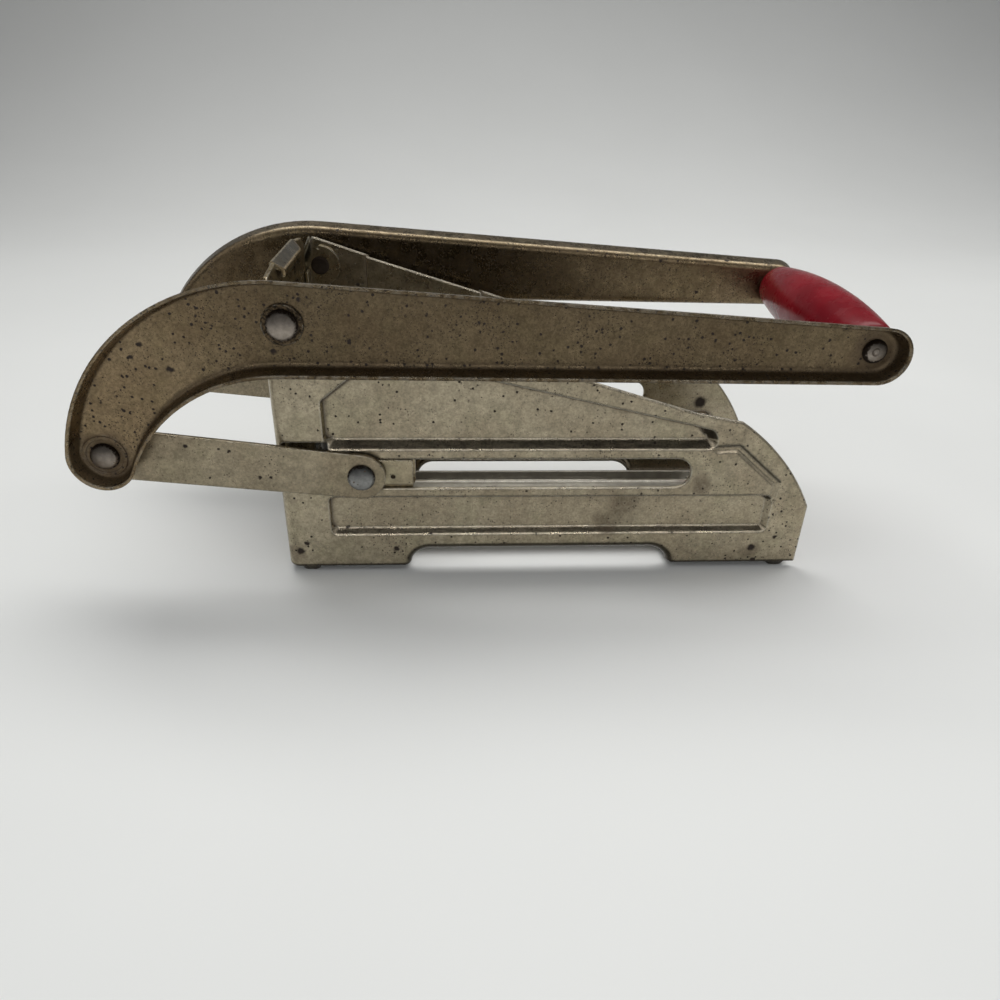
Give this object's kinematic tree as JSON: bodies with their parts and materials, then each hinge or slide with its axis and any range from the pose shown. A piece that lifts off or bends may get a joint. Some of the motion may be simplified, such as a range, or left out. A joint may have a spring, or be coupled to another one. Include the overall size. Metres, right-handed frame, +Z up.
{
  "type": "french fry cutter",
  "caption": "Hand-lever potato cutter: two pressed side walls, a lever with a wooden grip, links to a sliding pusher, and a lift-out blade grid.",
  "frame": {"origin": "centre of the bounding box, on the plane the feet stand on", "axes": "+X from the blade end towards the grip, +Z up, -Y the user's left when they face the blades from the grip"},
  "size_m": [0.2664, 0.0966, 0.1066],
  "materials": {
    "plated_sheet": "worn, speckled nickel plate",
    "rivet_steel": "worn bright steel",
    "shoe_steel": "worn steel",
    "blade_steel": "ground edge",
    "cast_block": "as cast",
    "lacquered_wood": "glossy red lacquer"
  },
  "bodies": {
    "frame": {"floor_pan": "plated_sheet", "left_side_wall": "plated_sheet", "left_blade_guide": "plated_sheet", "left_pivot_rivet": "rivet_steel", "left_pivot_spacer": "rivet_steel", "left_pivot_washer": "rivet_steel", "right_side_wall": "plated_sheet", "right_blade_guide": "plated_sheet", "right_pivot_rivet": "rivet_steel", "right_pivot_spacer": "rivet_steel", "right_pivot_washer": "rivet_steel"},
    "lever": {"grip": "lacquered_wood", "grip_rod": "rivet_steel", "left_arm": "plated_sheet", "left_crank_rivet": "rivet_steel", "right_arm": "plated_sheet", "right_crank_rivet": "rivet_steel"},
    "left_link": {"left_link": "plated_sheet", "left_link_rivet": "rivet_steel"},
    "right_link": {"right_link": "plated_sheet", "right_link_rivet": "rivet_steel"},
    "pusher": {"pusher_block": "cast_block", "pusher_carriage": "plated_sheet", "pusher_rivets": "rivet_steel", "left_slide_shoe": "shoe_steel", "left_slide_rivet": "rivet_steel", "right_slide_shoe": "shoe_steel", "right_slide_rivet": "rivet_steel"},
    "blade_cartridge": {"blade_frame": "plated_sheet", "vertical_blades": "blade_steel", "horizontal_blades": "blade_steel"}
  },
  "joints": [
    {"name": "lever_hinge", "type": "hinge", "parent": "frame", "child": "lever", "pos_m": [-0.063, 0, 0.0923], "axis": [0, -1, 0], "range_deg": [0, 80]},
    {"name": "left_link_pivot", "type": "hinge", "parent": "lever", "child": "left_link", "pos_m": [-0.1238, -0.0397, 0.0487], "axis": [0, -1, 0], "range_deg": [-63.13, 0]},
    {"name": "right_link_pivot", "type": "hinge", "parent": "lever", "child": "right_link", "pos_m": [-0.1238, 0.0397, 0.0487], "axis": [0, -1, 0], "range_deg": [-63.13, 0]},
    {"name": "pusher_slide", "type": "slide", "parent": "frame", "child": "pusher", "axis": [1, 0, 0], "range_m": [0, 0.09234]},
    {"name": "blade_lift", "type": "slide", "parent": "frame", "child": "blade_cartridge", "axis": [0, 0, 1], "range_m": [0, 0.08]}
  ],
  "couplings": [
    {"joint": "left_link_pivot", "follows": "lever_hinge", "ratio": -0.78904},
    {"joint": "right_link_pivot", "follows": "lever_hinge", "ratio": -0.78904},
    {"joint": "pusher_slide", "follows": "lever_hinge", "m_per_rad": 0.066124}
  ]
}
